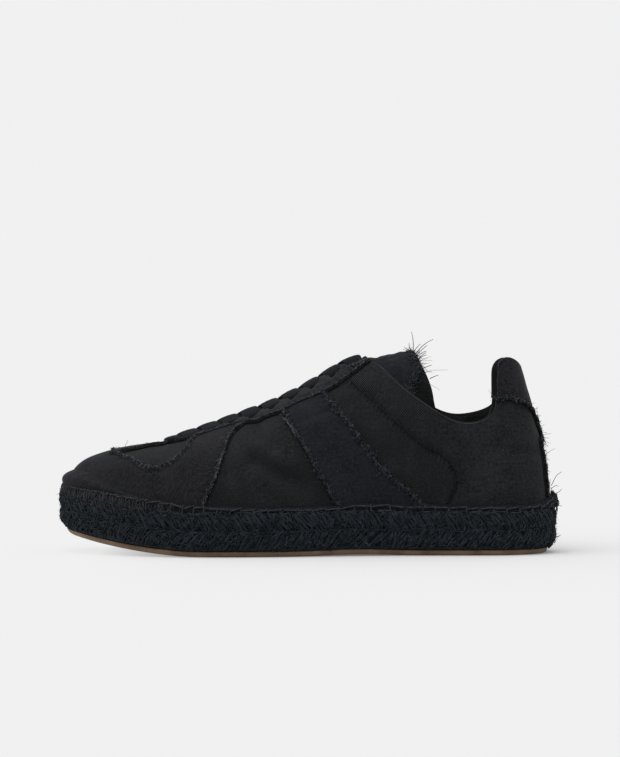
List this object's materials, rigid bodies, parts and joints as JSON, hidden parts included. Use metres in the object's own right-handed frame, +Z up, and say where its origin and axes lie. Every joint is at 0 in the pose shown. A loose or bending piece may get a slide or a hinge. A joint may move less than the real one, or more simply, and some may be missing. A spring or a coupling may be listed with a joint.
{
  "type": "sneaker",
  "caption": "Low lace-up trainer for the left foot: soft twill upper with cut overlays, standing tongue, raised heel tab, rope midsole and thin rubber outsole.",
  "frame": {"origin": "under the middle of the shoe's box, on the floor plane that the heel and ball of the outsole stand on", "axes": "-X towards the toe, +X towards the heel, -Y the lateral (outer) side, +Y the medial (inner) side, +Z up"},
  "size_m": [0.2849, 0.1023, 0.1152],
  "materials": {
    "twill": "matt cotton twill",
    "soft_twill": "matt washed cotton",
    "rope": "fuzzy plied rope",
    "braid": "flat woven lace",
    "lining": "matt lining cloth",
    "gum_rubber": "matt gum rubber"
  },
  "bodies": {
    "root": {"outsole": "gum_rubber", "midsole": "rope", "insole": "lining", "upper": "twill", "toe_cap": "twill", "eyestay": "twill", "stripe_lateral": "soft_twill", "stripe_medial": "soft_twill", "heel_tab": "twill", "back_strip": "twill", "tongue": "soft_twill", "lace": "braid"}
  },
  "joints": []
}
